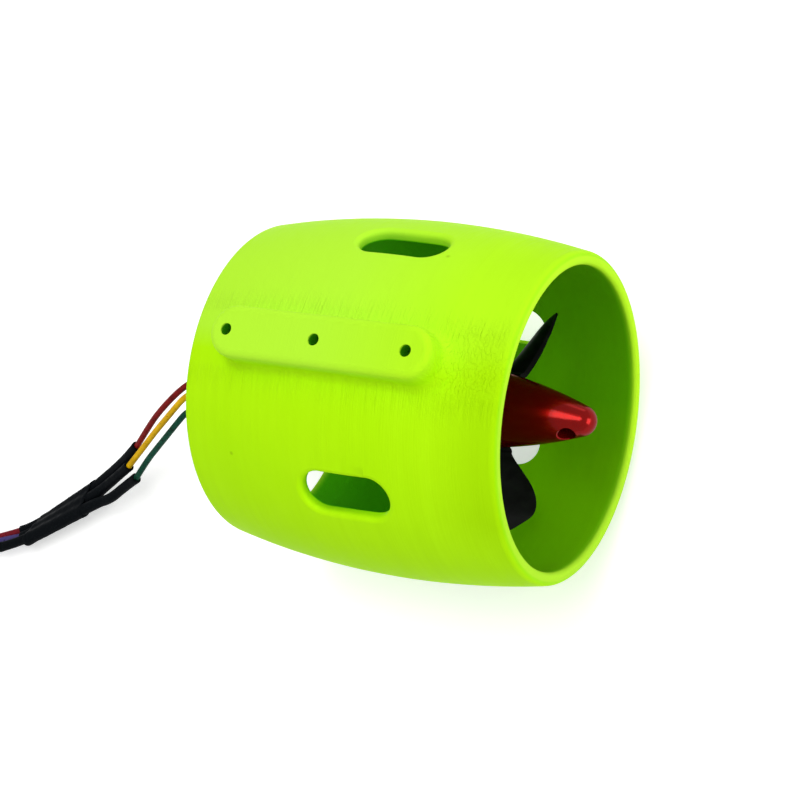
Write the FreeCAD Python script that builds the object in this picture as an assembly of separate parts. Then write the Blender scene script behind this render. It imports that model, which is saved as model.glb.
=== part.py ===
"""Ducted underwater thruster: a printed duct with a mounting pad, a brushless motor inside it on three
struts, a three-bladed propeller, and the motor's leads spliced to three extension wires.

Millimetres. +X runs along the shaft from the intake to the outlet, +Z stands out of the pad's face,
and the origin is the centre of the pad's middle hole, on that face. Angles round the shaft are
measured from +Z towards +Y."""

import FreeCAD, Part
import math
import os

V = FreeCAD.Vector
os.makedirs("parts", exist_ok=True)

# Pad on top of the duct
HOLE_PITCH = 25.0
HOLE_COUNT = 3
HOLE_RADIUS = 1.5
PAD_WIDTH = 13.0
PAD_INTAKE_MARGIN = 4.8
PAD_OUTLET_MARGIN = 6.3
PAD_EDGE_ROUND = 1.7
PAD_FOOT_ROUND = 2.5
PAD_TO_AXIS = 52.0

# Duct
DUCT_LENGTH = 88.0
INTAKE_TO_PAD = 42.1
DUCT_END_RADIUS = 41.3
DUCT_BELLY_RADIUS = 45.7
DUCT_WALL = 2.9
LIP_WALL = 3.5
LIP_OUTER_ROUND = 2.0
LIP_INNER_ROUND = 1.1

# Slots through the duct's wall
SLOT_ANGLES = (44.5, 135.0, 180.0, 225.0, 314.0)
SLOT_LENGTH = 24.2
SLOT_WIDTH = 11.1
SLOT_FROM_INTAKE = 48.1
SLOT_EDGE_ROUND = 1.3

# Struts and motor seat, in one with the duct
STRUT_ANGLES = (60.0, 180.0, 300.0)
STRUT_THICKNESS = 4.0
STRUT_TAIL = 1.2
STRUT_FROM_INTAKE = 5.0
STRUT_CHORD = 12.0
SEAT_FROM_INTAKE = 18.0
SEAT_RADIUS = 14.5
SEAT_DEPTH = 13.0
SEAT_NOSE_ROUND = 4.5
SEAT_PLATE = 4.0
SEAT_BORE_RADIUS = 4.4
LEAD_WINDOW_RADIUS = 9.5
LEAD_WINDOW_WIDTH = 7.2
LEAD_WINDOW_HEIGHT = 2.6

# Motor: fixed half
MOTOR_RADIUS = 14.0
BASE_RADIUS = 13.4
BASE_THICKNESS = 3.0
BEARING_TUBE_RADIUS = 5.8
TUBE_PAST_STACK = 3.0
BEARING_OUTER_RADIUS = 4.5
BEARING_WIDTH = 4.0
TUBE_BORE_RADIUS = 3.6
STACK_START = 8.0
STACK_LENGTH = 19.0
STATOR_RADIUS = 10.9
TOOTH_COUNT = 12
TOOTH_WIDTH = 1.6
YOKE_RADIUS = 6.8
SHOE_RADIUS = 9.6
SHOE_ANGLE = 23.0
COIL_SIDE = 0.9
COIL_OVERHANG = 2.4
COIL_CLEARANCE = 0.05

# Motor: turning half
AIR_GAP = 0.4
MAGNET_THICKNESS = 1.4
MAGNET_COUNT = 14
MAGNET_ANGLE = 22.0
CAN_START = 4.0
CAP_BOSS = 0.2
CAP_THICKNESS = 4.0
CAP_VENT_COUNT = 6
CAP_VENT_RADIUS = 1.8
CAP_VENT_CIRCLE = 10.4
SHAFT_RADIUS = 2.0
SHAFT_TAIL = 2.6
CIRCLIP_RADIUS = 3.4
CIRCLIP_THICKNESS = 0.5
SHIM_RADIUS = 3.2
SHIM_THICKNESS = 0.5
RUNNING_CLEARANCE = 0.05
END_PLAY = 0.3

# Screws
MOTOR_SCREW_RADIUS = 1.5
MOTOR_SCREW_HEAD_RADIUS = 2.75
MOTOR_SCREW_HEAD = 3.0
MOTOR_SCREW_CIRCLE = 9.5
MOTOR_SCREW_ANGLES = (45.0, 135.0, 225.0, 315.0)
HEX_SOCKET = 2.5
ADAPTER_SCREW_RADIUS = 1.0
ADAPTER_SCREW_HEAD_RADIUS = 1.8
ADAPTER_SCREW_HEAD = 1.2
ADAPTER_SCREW_CIRCLE = 5.9
ADAPTER_SCREW_COUNT = 4
ADAPTER_SCREW_SOCKET = 1.3
SEAT_CLEARANCE = 0.05
PRESS_CLEARANCE = 0.02

# Propeller and what holds it
ADAPTER_RADIUS = 8.2
ADAPTER_FLANGE = 2.5
ADAPTER_SHOULDER_RADIUS = 4.0
ADAPTER_SHOULDER = 3.0
STUD_RADIUS = 3.0
HUB_LENGTH = 10.0
HUB_RADIUS = 9.5
BLADE_COUNT = 3
FIRST_BLADE_ANGLE = 132.5
PROPELLER_RADIUS = 31.9
PROPELLER_PITCH = 101.0
BLADE_LINE_PAST_MIDDLE = 0.6
BLADE_RAKE = 1.4
BLADE_ROOT_SUNK = 1.5
BLADE_ROOT_THICKNESS = 4.0
BLADE_TIP_THICKNESS = 0.9
BLADE_CAMBER = 0.08
# Blade outline: share of the span, then the edges' distances before and behind the blade's line
BLADE_OUTLINE = (
    (0.0, 6.5, 5.0),
    (0.12, 8.4, 6.9),
    (0.25, 8.8, 8.9),
    (0.5, 9.3, 13.7),
    (0.7, 9.0, 15.6),
    (0.8, 8.3, 15.1),
    (0.87, 6.2, 13.0),
    (0.93, 3.4, 10.5),
    (0.97, 0.2, 8.1),
    (1.0, -3.1, 5.8),
)
WASHER_RADIUS = 7.5
WASHER_THICKNESS = 1.0
SPINNER_LENGTH = 24.5
SPINNER_RADIUS = 9.3
SPINNER_NOSE_RADIUS = 4.0
SPINNER_NOSE_DEPTH = 3.0
SPINNER_BULGE = 0.5
SPINNER_BORE_DEPTH = 14.0
CROSS_HOLE_RADIUS = 2.1
CROSS_HOLE_FROM_TIP = 6.2
CROSS_HOLE_ANGLE = 292.0
CROSS_HOLE_CHAMFER = 0.25

# Leads, splices and extension wires
LEAD_DIAMETER = 1.8
EXTENSION_DIAMETER = 2.3
SPLICE_WALL = 0.35
BUNDLE_WALL = 0.45
BUNDLE_SPACING = 3.2
BUNDLE_TILT = 20.0
BUNDLE_START = V(-123.2, -35.6, -91.6)
BUNDLE_END = V(-141.6, -48.0, -93.6)
COIL_CENTRE_X = -192.0
COIL_CENTRE_Y = -45.0
COIL_RADIUS = 21.0
COIL_PITCH = 2.35
COIL_LAYERS = 3.5
TIE_WIDTH = 6.0
TIE_THICKNESS = 0.5
TIE_ANGLE = 20.0
BULLET_RADIUS = 1.75
BULLET_PIN_LENGTH = 7.0
BULLET_BARREL_RADIUS = 2.0
BULLET_BARREL_LENGTH = 7.5
COVER_WALL = 0.4
COVER_BACK = 4.0

# Places worked out from the sizes above
AXIS_Z = -PAD_TO_AXIS
INTAKE_X = -INTAKE_TO_PAD
OUTLET_X = INTAKE_X + DUCT_LENGTH
BORE_END_RADIUS = DUCT_END_RADIUS - LIP_WALL
BORE_BELLY_RADIUS = DUCT_BELLY_RADIUS - DUCT_WALL
PAD_HEIGHT = PAD_TO_AXIS - DUCT_BELLY_RADIUS
SEAT_X = INTAKE_X + SEAT_FROM_INTAKE
FLOOR_Z = AXIS_Z - DUCT_BELLY_RADIUS
BASE_FRONT_X = SEAT_X + BASE_THICKNESS
STACK_X = SEAT_X + STACK_START
TUBE_END_X = STACK_X + STACK_LENGTH + TUBE_PAST_STACK
MAGNET_INNER = STATOR_RADIUS + AIR_GAP
CAN_INNER = MAGNET_INNER + MAGNET_THICKNESS
CAN_X = SEAT_X + CAN_START
CAN_END_X = TUBE_END_X + END_PLAY + SHIM_THICKNESS + CAP_BOSS
CAP_END_X = CAN_END_X + CAP_THICKNESS
ADAPTER_FRONT_X = CAP_END_X + ADAPTER_FLANGE
HUB_X = ADAPTER_FRONT_X + ADAPTER_SHOULDER
HUB_END_X = HUB_X + HUB_LENGTH
SPINNER_X = HUB_END_X + WASHER_THICKNESS
SPINNER_TIP_X = SPINNER_X + SPINNER_LENGTH
STUD_END_X = SPINNER_X + SPINNER_BORE_DEPTH - 1.0
SHAFT_END_X = ADAPTER_FRONT_X + ADAPTER_SHOULDER / 2
SPLICE_DIAMETER = EXTENSION_DIAMETER + 2 * SPLICE_WALL
COIL_WIDTH = 2 * COIL_PITCH + EXTENSION_DIAMETER
COIL_HEIGHT = COIL_LAYERS * COIL_PITCH
COIL_FLOOR_Z = FLOOR_Z + TIE_THICKNESS


def radial(angle):
    """Unit vector away from the shaft at an angle from +Z towards +Y."""
    a = math.radians(angle)
    return V(0, math.sin(a), math.cos(a))


def on_axis(x):
    return V(x, 0, AXIS_Z)


def rod(x, length, radius, offset=V(0, 0, 0)):
    """Round bar along +X, starting at x."""
    return Part.makeCylinder(radius, length, on_axis(x) + offset, V(1, 0, 0))


def ring(x, length, outer, inner):
    return rod(x, length, outer).cut(rod(x - 1, length + 2, inner))


def turned(points_and_arcs):
    """Solid of revolution round the shaft from edges given in (x, radius)."""
    wire = Part.Wire(points_and_arcs)
    solid = Part.Face(wire).revolve(on_axis(0), V(1, 0, 0), 360)
    return solid


def at(x, radius):
    """Point of a turned profile, drawn above the shaft."""
    return V(x, 0, AXIS_Z + radius)


def line(a, b):
    return Part.LineSegment(a, b).toShape()


def arc(a, middle, b):
    return Part.Arc(a, middle, b).toShape()


def barrel_radius(x, end_radius, belly_radius):
    """Radius at x of the arc that swells from end_radius at the lips to belly_radius half way."""
    half = DUCT_LENGTH / 2
    bulge = belly_radius - end_radius
    curve = (half * half + bulge * bulge) / (2 * bulge)
    from_middle = x - INTAKE_X - half
    return belly_radius - curve + math.copysign(math.sqrt(curve ** 2 - from_middle ** 2), curve)


def barrel(end_radius, belly_radius, overrun=0.0):
    """Barrel-shaped solid along the duct, with its sides continued past both ends by overrun."""
    first, last = INTAKE_X - overrun, OUTLET_X + overrun
    middle = (first + last) / 2
    radius = barrel_radius(first, end_radius, belly_radius)
    solid = turned([
        line(at(first, 0), at(first, radius)),
        arc(at(first, radius), at(middle, belly_radius), at(last, radius)),
        line(at(last, radius), at(last, 0)),
        line(at(last, 0), at(first, 0)),
    ])
    return turn(solid, 90)


def stadium(length, width, depth):
    """Prism with round ends: length along X, width along Y, from z = 0 down to -depth."""
    r = width / 2
    x = length / 2 - r
    wire = Part.Wire([
        line(V(-x, -r, 0), V(x, -r, 0)),
        arc(V(x, -r, 0), V(x + r, 0, 0), V(x, r, 0)),
        line(V(x, r, 0), V(-x, r, 0)),
        arc(V(-x, r, 0), V(-x - r, 0, 0), V(-x, -r, 0)),
    ])
    return Part.Face(wire).extrude(V(0, 0, -depth))


def edges_at(shape, test):
    return [e for e in shape.Edges if test(e)]


def middle_of(edge):
    return edge.valueAt((edge.FirstParameter + edge.LastParameter) / 2)


def off_barrel(point):
    """How far a point stands outside the duct's outer surface."""
    from_axis = math.hypot(point.y, point.z - AXIS_Z)
    return from_axis - barrel_radius(point.x, DUCT_END_RADIUS, DUCT_BELLY_RADIUS)


def pad_block():
    """Stadium pad with rounded upper edge, deep enough to reach into the duct's wall at both ends."""
    length = (HOLE_COUNT - 1) * HOLE_PITCH + PAD_INTAKE_MARGIN + PAD_OUTLET_MARGIN
    depth = PAD_TO_AXIS - DUCT_END_RADIUS + DUCT_WALL / 2
    block = stadium(length, PAD_WIDTH, depth)
    block.translate(V((PAD_OUTLET_MARGIN - PAD_INTAKE_MARGIN) / 2, 0, 0))
    rim = edges_at(block, lambda e: abs(e.BoundBox.ZMin) < 1e-6 and abs(e.BoundBox.ZMax) < 1e-6)
    return block.makeFillet(min(PAD_EDGE_ROUND, PAD_HEIGHT / 3), rim)


def on_pad_foot(edge):
    """True for an edge where the pad's side meets the duct's outer surface."""
    point = middle_of(edge)
    return point.z > AXIS_Z and abs(point.y) < PAD_WIDTH and abs(off_barrel(point)) < 0.05


def strut(angle):
    """Blade-like strut from the motor seat to the duct's wall, round-nosed and thin-tailed."""
    r = STRUT_THICKNESS / 2
    tail = STRUT_TAIL / 2
    nose_x = INTAKE_X + STRUT_FROM_INTAKE
    tail_x = nose_x + STRUT_CHORD
    inner = SEAT_RADIUS - 2.0
    bore_at_tail = barrel_radius(tail_x, BORE_END_RADIUS, BORE_BELLY_RADIUS)
    outside_at_nose = barrel_radius(nose_x, DUCT_END_RADIUS, DUCT_BELLY_RADIUS)
    outer = (bore_at_tail + outside_at_nose) / 2
    z = inner
    wire = Part.Wire([
        arc(V(nose_x + r, r, z), V(nose_x, 0, z), V(nose_x + r, -r, z)),
        line(V(nose_x + r, -r, z), V(tail_x - tail, -tail, z)),
        arc(V(tail_x - tail, -tail, z), V(tail_x, 0, z), V(tail_x - tail, tail, z)),
        line(V(tail_x - tail, tail, z), V(nose_x + r, r, z)),
    ])
    bar = Part.Face(wire).extrude(V(0, 0, outer - inner))
    bar.rotate(V(0, 0, 0), V(1, 0, 0), -angle)
    bar.translate(V(0, 0, AXIS_Z))
    return bar


def lead_window(x, length):
    """Round-ended window below the shaft, which the three leads pass through."""
    r = LEAD_WINDOW_HEIGHT / 2
    half = LEAD_WINDOW_WIDTH / 2 - r
    z = AXIS_Z - LEAD_WINDOW_RADIUS
    wire = Part.Wire([
        line(V(x, -half, z - r), V(x, half, z - r)),
        arc(V(x, half, z - r), V(x, half + r, z), V(x, half, z + r)),
        line(V(x, half, z + r), V(x, -half, z + r)),
        arc(V(x, -half, z + r), V(x, -half - r, z), V(x, -half, z - r)),
    ])
    return Part.Face(wire).extrude(V(length, 0, 0))


def motor_seat():
    """Round-nosed hub between the struts; the motor's base sits on its downstream face."""
    hub = rod(SEAT_X - SEAT_DEPTH, SEAT_DEPTH, SEAT_RADIUS)
    nose = edges_at(hub, lambda e: e.BoundBox.XMax < SEAT_X - SEAT_DEPTH + 1e-6)
    return hub.makeFillet(SEAT_NOSE_ROUND, nose)


def slot_cutter(angle):
    slot = stadium(SLOT_LENGTH, SLOT_WIDTH, DUCT_WALL * 3)
    slot.translate(V(INTAKE_X + SLOT_FROM_INTAKE, 0, DUCT_BELLY_RADIUS + DUCT_WALL))
    slot.rotate(V(0, 0, 0), V(1, 0, 0), -angle)
    slot.translate(V(0, 0, AXIS_Z))
    return slot


def on_slot_edge(edge):
    """True for an edge where a slot meets the duct's outer surface."""
    box = edge.BoundBox
    middle = INTAKE_X + SLOT_FROM_INTAKE
    if box.XMin < middle - SLOT_LENGTH / 2 - 0.1 or box.XMax > middle + SLOT_LENGTH / 2 + 0.1:
        return False
    return abs(off_barrel(middle_of(edge))) < 0.3 and min(off_barrel(v.Point) for v in edge.Vertexes) > -1.5


def duct():
    wall = barrel(DUCT_END_RADIUS, DUCT_BELLY_RADIUS)
    ends = edges_at(wall, lambda e: e.BoundBox.XLength < 1e-6 and e.BoundBox.ZLength > 1)
    wall = wall.makeFillet(LIP_OUTER_ROUND, ends)
    wall = wall.fuse(pad_block()).removeSplitter()
    wall = wall.makeFillet(min(PAD_FOOT_ROUND, PAD_HEIGHT / 2.5), edges_at(wall, on_pad_foot))
    wall = wall.cut(barrel(BORE_END_RADIUS, BORE_BELLY_RADIUS, overrun=1.0))
    inner = edges_at(wall, lambda e: e.BoundBox.XLength < 1e-6
                     and abs(e.BoundBox.ZLength - 2 * BORE_END_RADIUS) < 0.2)
    wall = wall.makeFillet(LIP_INNER_ROUND, inner)
    for angle in STRUT_ANGLES:
        wall = wall.fuse(strut(angle))
    wall = wall.fuse(motor_seat()).removeSplitter()
    for angle in SLOT_ANGLES:
        wall = wall.cut(slot_cutter(angle))
    wall = wall.makeFillet(SLOT_EDGE_ROUND, edges_at(wall, on_slot_edge))
    for i in range(HOLE_COUNT):
        x = (i - (HOLE_COUNT - 1) / 2) * HOLE_PITCH
        wall = wall.cut(Part.makeCylinder(HOLE_RADIUS, 20, V(x, 0, 1), V(0, 0, -1)))
    wall = wall.cut(rod(SEAT_X - SEAT_DEPTH - 1, SEAT_DEPTH + 2, SEAT_BORE_RADIUS))
    wall = wall.cut(lead_window(SEAT_X - SEAT_DEPTH - 1, SEAT_DEPTH + 2))
    for angle in MOTOR_SCREW_ANGLES:
        place = radial(angle) * MOTOR_SCREW_CIRCLE
        shank = rod(SEAT_X - SEAT_DEPTH - 1, SEAT_DEPTH + 2, MOTOR_SCREW_RADIUS + 0.15, place)
        head = rod(SEAT_X - SEAT_DEPTH - 1, SEAT_DEPTH + 1 - SEAT_PLATE,
                   MOTOR_SCREW_HEAD_RADIUS + 0.25, place)
        wall = wall.cut(shank.fuse(head))
    return wall


def motor_base():
    """Base disc on the motor seat, with the tube that holds both bearings."""
    base = rod(SEAT_X, BASE_THICKNESS, BASE_RADIUS)
    rim = edges_at(base, lambda e: e.BoundBox.XMin > BASE_FRONT_X - 1e-6)
    base = base.makeFillet(0.6, rim)
    base = base.fuse(rod(SEAT_X, TUBE_END_X - SEAT_X, BEARING_TUBE_RADIUS)).removeSplitter()
    base = base.cut(rod(SEAT_X - 1, TUBE_END_X - SEAT_X + 2, TUBE_BORE_RADIUS))
    seat_radius = BEARING_OUTER_RADIUS + PRESS_CLEARANCE
    base = base.cut(rod(SEAT_X - 1, BEARING_WIDTH + 1, seat_radius))
    base = base.cut(rod(TUBE_END_X - BEARING_WIDTH, BEARING_WIDTH + 1, seat_radius))
    for angle in MOTOR_SCREW_ANGLES:
        place = radial(angle) * MOTOR_SCREW_CIRCLE
        base = base.cut(rod(SEAT_X - 1, BASE_THICKNESS + 2, MOTOR_SCREW_RADIUS + SEAT_CLEARANCE, place))
    return base.cut(lead_window(SEAT_X - 1, BASE_THICKNESS + 2))


def screw(head_x, length, radius, head_radius, head, place, socket):
    """Cap screw pointing along +X, its head upstream of head_x, with a hexagon socket."""
    body = rod(head_x - head, head, head_radius, place)
    body = body.fuse(rod(head_x, length, radius, place))
    centre = on_axis(head_x - head) + place
    corner = socket / math.sqrt(3)
    points = [centre + radial(60.0 * i) * corner for i in range(7)]
    recess = Part.Face(Part.makePolygon(points)).extrude(V(head * 0.55, 0, 0))
    return body.cut(recess)


def motor_screws():
    solids = []
    for angle in MOTOR_SCREW_ANGLES:
        place = radial(angle) * MOTOR_SCREW_CIRCLE
        solids.append(screw(SEAT_X - SEAT_PLATE, SEAT_PLATE + BASE_THICKNESS - 0.3, MOTOR_SCREW_RADIUS,
                            MOTOR_SCREW_HEAD_RADIUS, MOTOR_SCREW_HEAD, place, HEX_SOCKET))
    return Part.makeCompound(solids)


def bearing(x):
    """Shielded ball bearing: two rings, with its shields set back between them."""
    body = ring(x, BEARING_WIDTH, BEARING_OUTER_RADIUS, SHAFT_RADIUS + RUNNING_CLEARANCE)
    inner = SHAFT_RADIUS + 0.8
    outer = BEARING_OUTER_RADIUS - 0.7
    for face in (x - 1, x + BEARING_WIDTH - 0.3):
        body = body.cut(ring(face, 1.3, outer, inner))
    return body


def bar_across(x, length, inner, outer, width):
    """Rectangular bar from radius inner to outer above the shaft, for turning into place."""
    return Part.makeBox(length, width, outer - inner, V(x, -width / 2, AXIS_Z + inner))


def turn(shape, angle):
    shape = shape.copy()
    shape.rotate(on_axis(0), V(1, 0, 0), -angle)
    return shape


def sector(x, length, inner, outer, angle):
    """Piece of a ring, angle wide, centred above the shaft."""
    half = math.radians(angle / 2)

    def point(radius, a):
        return V(x, radius * math.sin(a), AXIS_Z + radius * math.cos(a))

    wire = Part.Wire([
        arc(point(outer, -half), point(outer, 0), point(outer, half)),
        line(point(outer, half), point(inner, half)),
        arc(point(inner, half), point(inner, 0), point(inner, -half)),
        line(point(inner, -half), point(outer, -half)),
    ])
    return Part.Face(wire).extrude(V(length, 0, 0))


def stator_core():
    """Steel stack: a yoke ring on the bearing tube, and teeth with wide shoes."""
    core = ring(STACK_X, STACK_LENGTH, YOKE_RADIUS, BEARING_TUBE_RADIUS + PRESS_CLEARANCE)
    tooth = bar_across(STACK_X, STACK_LENGTH, YOKE_RADIUS - 0.3, SHOE_RADIUS + 0.3, TOOTH_WIDTH)
    tooth = tooth.fuse(sector(STACK_X, STACK_LENGTH, SHOE_RADIUS, STATOR_RADIUS, SHOE_ANGLE))
    teeth = [turn(tooth, 360 / TOOTH_COUNT * i) for i in range(TOOTH_COUNT)]
    return core.multiFuse(teeth).removeSplitter()


def stator_coils():
    """One coil round each tooth, standing out past both ends of the stack."""
    gap = COIL_CLEARANCE
    width = TOOTH_WIDTH + 2 * (gap + COIL_SIDE)
    inner = YOKE_RADIUS + gap
    outer = math.sqrt(SHOE_RADIUS ** 2 - (width / 2) ** 2) - gap
    length = STACK_LENGTH + 2 * COIL_OVERHANG
    coil = bar_across(STACK_X - COIL_OVERHANG, length, inner, outer, width)
    coil = coil.cut(bar_across(STACK_X - gap, STACK_LENGTH + 2 * gap, inner - 1, outer + 1,
                               TOOTH_WIDTH + 2 * gap))
    corners = edges_at(coil, lambda e: e.BoundBox.ZLength > outer - inner - 0.01
                       and e.BoundBox.XLength < 1e-6 and e.BoundBox.YLength < 1e-6
                       and abs(abs(e.BoundBox.YMin) - width / 2) < 1e-6)
    coil = coil.makeFillet(0.8, corners)
    return Part.makeCompound([turn(coil, 360 / TOOTH_COUNT * i) for i in range(TOOTH_COUNT)])


def flux_ring():
    """Steel can that turns round the stator and carries the magnets."""
    can = ring(CAN_X, CAN_END_X - CAN_X, MOTOR_RADIUS, CAN_INNER)
    rim = edges_at(can, lambda e: e.BoundBox.XMax < CAN_X + 1e-6 and e.BoundBox.ZLength > 2 * CAN_INNER + 0.5)
    return can.makeChamfer(0.4, rim)


def magnets():
    magnet = sector(STACK_X, STACK_LENGTH, MAGNET_INNER, CAN_INNER - PRESS_CLEARANCE, MAGNET_ANGLE)
    return Part.makeCompound([turn(magnet, 360 / MAGNET_COUNT * i) for i in range(MAGNET_COUNT)])


def end_cap():
    """Aluminium cap that closes the can and grips the shaft, with round vents."""
    cap = rod(CAN_END_X, CAP_THICKNESS, MOTOR_RADIUS)
    rim = edges_at(cap, lambda e: e.BoundBox.XMin > CAP_END_X - 1e-6)
    cap = cap.makeFillet(1.2, rim)
    boss_x = TUBE_END_X + END_PLAY + SHIM_THICKNESS
    cap = cap.fuse(rod(boss_x, CAN_END_X - boss_x + 0.5, BEARING_TUBE_RADIUS - 1.0)).removeSplitter()
    cap = cap.cut(rod(boss_x - 1, CAP_END_X - boss_x + 2, SHAFT_RADIUS + PRESS_CLEARANCE))
    for i in range(CAP_VENT_COUNT):
        place = radial(360 / CAP_VENT_COUNT * i) * CAP_VENT_CIRCLE
        cap = cap.cut(rod(CAN_END_X - 1, CAP_THICKNESS + 2, CAP_VENT_RADIUS, place))
    for i in range(ADAPTER_SCREW_COUNT):
        cap = cap.cut(rod(CAN_END_X - 1, CAP_THICKNESS + 2, ADAPTER_SCREW_RADIUS + SEAT_CLEARANCE,
                          adapter_screw_place(i)))
    return cap


def adapter_screw_place(i):
    return radial(360 / ADAPTER_SCREW_COUNT * (i + 0.5)) * ADAPTER_SCREW_CIRCLE


def shaft():
    """Steel shaft from the circlip behind the rear bearing to the propeller adapter."""
    first = SEAT_X - END_PLAY - CIRCLIP_THICKNESS - SHAFT_TAIL
    body = rod(first, SHAFT_END_X - first, SHAFT_RADIUS)
    ends = edges_at(body, lambda e: e.BoundBox.XLength < 1e-6 and e.BoundBox.ZLength > SHAFT_RADIUS)
    body = body.makeChamfer(0.3, ends)
    groove = ring(SEAT_X - END_PLAY - CIRCLIP_THICKNESS, CIRCLIP_THICKNESS, SHAFT_RADIUS + 1,
                  SHAFT_RADIUS - 0.25)
    return body.cut(groove)


def circlip():
    """Open spring ring in the shaft's groove."""
    x = SEAT_X - END_PLAY - CIRCLIP_THICKNESS
    clip = ring(x, CIRCLIP_THICKNESS, CIRCLIP_RADIUS, SHAFT_RADIUS - 0.25 + PRESS_CLEARANCE)
    return clip.cut(bar_across(x - 1, CIRCLIP_THICKNESS + 2, 0, CIRCLIP_RADIUS + 1, SHAFT_RADIUS * 1.2))


def shim():
    return ring(TUBE_END_X + END_PLAY, SHIM_THICKNESS, SHIM_RADIUS, SHAFT_RADIUS + PRESS_CLEARANCE)


def propeller_adapter():
    """Flange screwed to the end cap, with a shoulder for the propeller and the stud for the nut."""
    body = rod(CAP_END_X, ADAPTER_FLANGE, ADAPTER_RADIUS)
    rim = edges_at(body, lambda e: e.BoundBox.XMin > ADAPTER_FRONT_X - 1e-6)
    body = body.makeChamfer(0.5, rim)
    body = body.fuse(rod(CAP_END_X, HUB_X - CAP_END_X, ADAPTER_SHOULDER_RADIUS))
    stud = rod(CAP_END_X, STUD_END_X - CAP_END_X, STUD_RADIUS)
    tip = edges_at(stud, lambda e: e.BoundBox.XMin > STUD_END_X - 1e-6)
    body = body.fuse(stud.makeChamfer(0.8, tip)).removeSplitter()
    body = body.cut(rod(CAP_END_X - 1, SHAFT_END_X - CAP_END_X + 1.2, SHAFT_RADIUS + PRESS_CLEARANCE))
    for i in range(ADAPTER_SCREW_COUNT):
        body = body.cut(rod(CAP_END_X - 1, ADAPTER_FLANGE + 2, ADAPTER_SCREW_RADIUS + SEAT_CLEARANCE,
                            adapter_screw_place(i)))
    return body


def adapter_screws():
    """Button screws through the adapter's flange into the end cap, heads downstream."""
    solids = []
    for i in range(ADAPTER_SCREW_COUNT):
        place = adapter_screw_place(i)
        one = screw(-ADAPTER_FRONT_X, ADAPTER_FLANGE + CAP_THICKNESS - 0.4, ADAPTER_SCREW_RADIUS,
                    ADAPTER_SCREW_HEAD_RADIUS, ADAPTER_SCREW_HEAD, place, ADAPTER_SCREW_SOCKET)
        solids.append(one.mirror(V(0, 0, 0), V(1, 0, 0)))
    return Part.makeCompound(solids)


def blade_section(radius, before, behind, thickness, x, angle):
    """Closed outline of the blade where it crosses this radius, as four edges.

    The chord is set at the pitch angle there, with its leading edge upstream, and the section is
    cambered towards the upstream side."""
    pitch = math.atan(PROPELLER_PITCH / (2 * math.pi * radius))
    out = radial(angle)
    around = V(1, 0, 0).cross(out)
    along = V(1, 0, 0) * math.sin(pitch) + around * math.cos(pitch)
    normal = V(-1, 0, 0) * math.cos(pitch) + around * math.sin(pitch)
    centre = on_axis(x) + out * radius
    camber = BLADE_CAMBER * (before + behind)
    edge = 0.35 * thickness
    middle = (behind - before) / 2

    def point(distance, n):
        return centre + along * distance + normal * n

    return Part.Wire([
        arc(point(-before, edge / 2), point(middle, camber + thickness / 2), point(behind, edge / 2)),
        line(point(behind, edge / 2), point(behind, -edge / 2)),
        arc(point(behind, -edge / 2), point(middle, camber - thickness / 2), point(-before, -edge / 2)),
        line(point(-before, -edge / 2), point(-before, edge / 2)),
    ])


def blade(angle):
    """Broad blade, swept back to a rounded tip, from inside the hub outwards."""
    root = HUB_RADIUS - BLADE_ROOT_SUNK
    sections = []
    for share, before, behind in BLADE_OUTLINE:
        radius = root + (PROPELLER_RADIUS - root) * share
        thickness = BLADE_ROOT_THICKNESS + (BLADE_TIP_THICKNESS - BLADE_ROOT_THICKNESS) * share
        x = HUB_X + HUB_LENGTH / 2 + BLADE_LINE_PAST_MIDDLE + BLADE_RAKE * share
        sections.append(blade_section(radius, before, behind, thickness, x, angle))
    return Part.makeLoft(sections, True, False)


def propeller():
    hub = rod(HUB_X, HUB_LENGTH, HUB_RADIUS)
    ends = edges_at(hub, lambda e: e.BoundBox.XLength < 1e-6 and e.BoundBox.ZLength > HUB_RADIUS)
    hub = hub.makeFillet(0.8, ends)
    for i in range(BLADE_COUNT):
        hub = hub.fuse(blade(FIRST_BLADE_ANGLE + 360 / BLADE_COUNT * i))
    return hub.cut(rod(HUB_X - 3, HUB_LENGTH + 8, STUD_RADIUS + SEAT_CLEARANCE))


def washer():
    return ring(HUB_END_X, WASHER_THICKNESS, WASHER_RADIUS, STUD_RADIUS + SEAT_CLEARANCE)


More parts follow.
